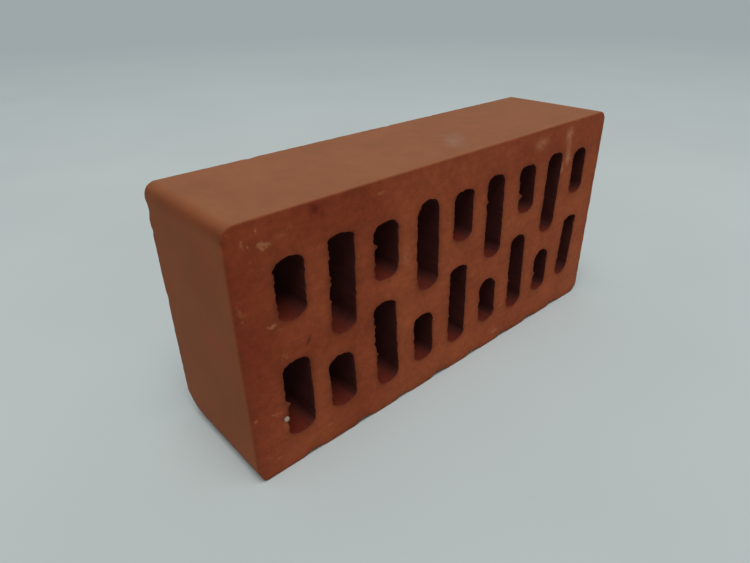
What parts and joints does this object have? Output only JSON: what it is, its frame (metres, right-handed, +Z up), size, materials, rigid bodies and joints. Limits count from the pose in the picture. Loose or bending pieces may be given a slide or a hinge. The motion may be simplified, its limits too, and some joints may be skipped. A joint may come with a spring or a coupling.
{
  "type": "clay brick",
  "caption": "Perforated red clay brick with rounded corners, staggered rows of upright slots through its bed faces and a grooved rear stretcher, for laying in mortar.",
  "frame": {"origin": "centre of the underside, the grooved stretcher face that the brick stands on", "axes": "+X along the length, +Y through the thickness away from the front bed face, +Z up"},
  "size_m": [0.25, 0.065, 0.12],
  "materials": {
    "fired_clay": "matt fired red clay, smooth where the die formed it and dragged where the wire cut it"
  },
  "bodies": {
    "root": {"clay_brick": "fired_clay"}
  },
  "joints": []
}
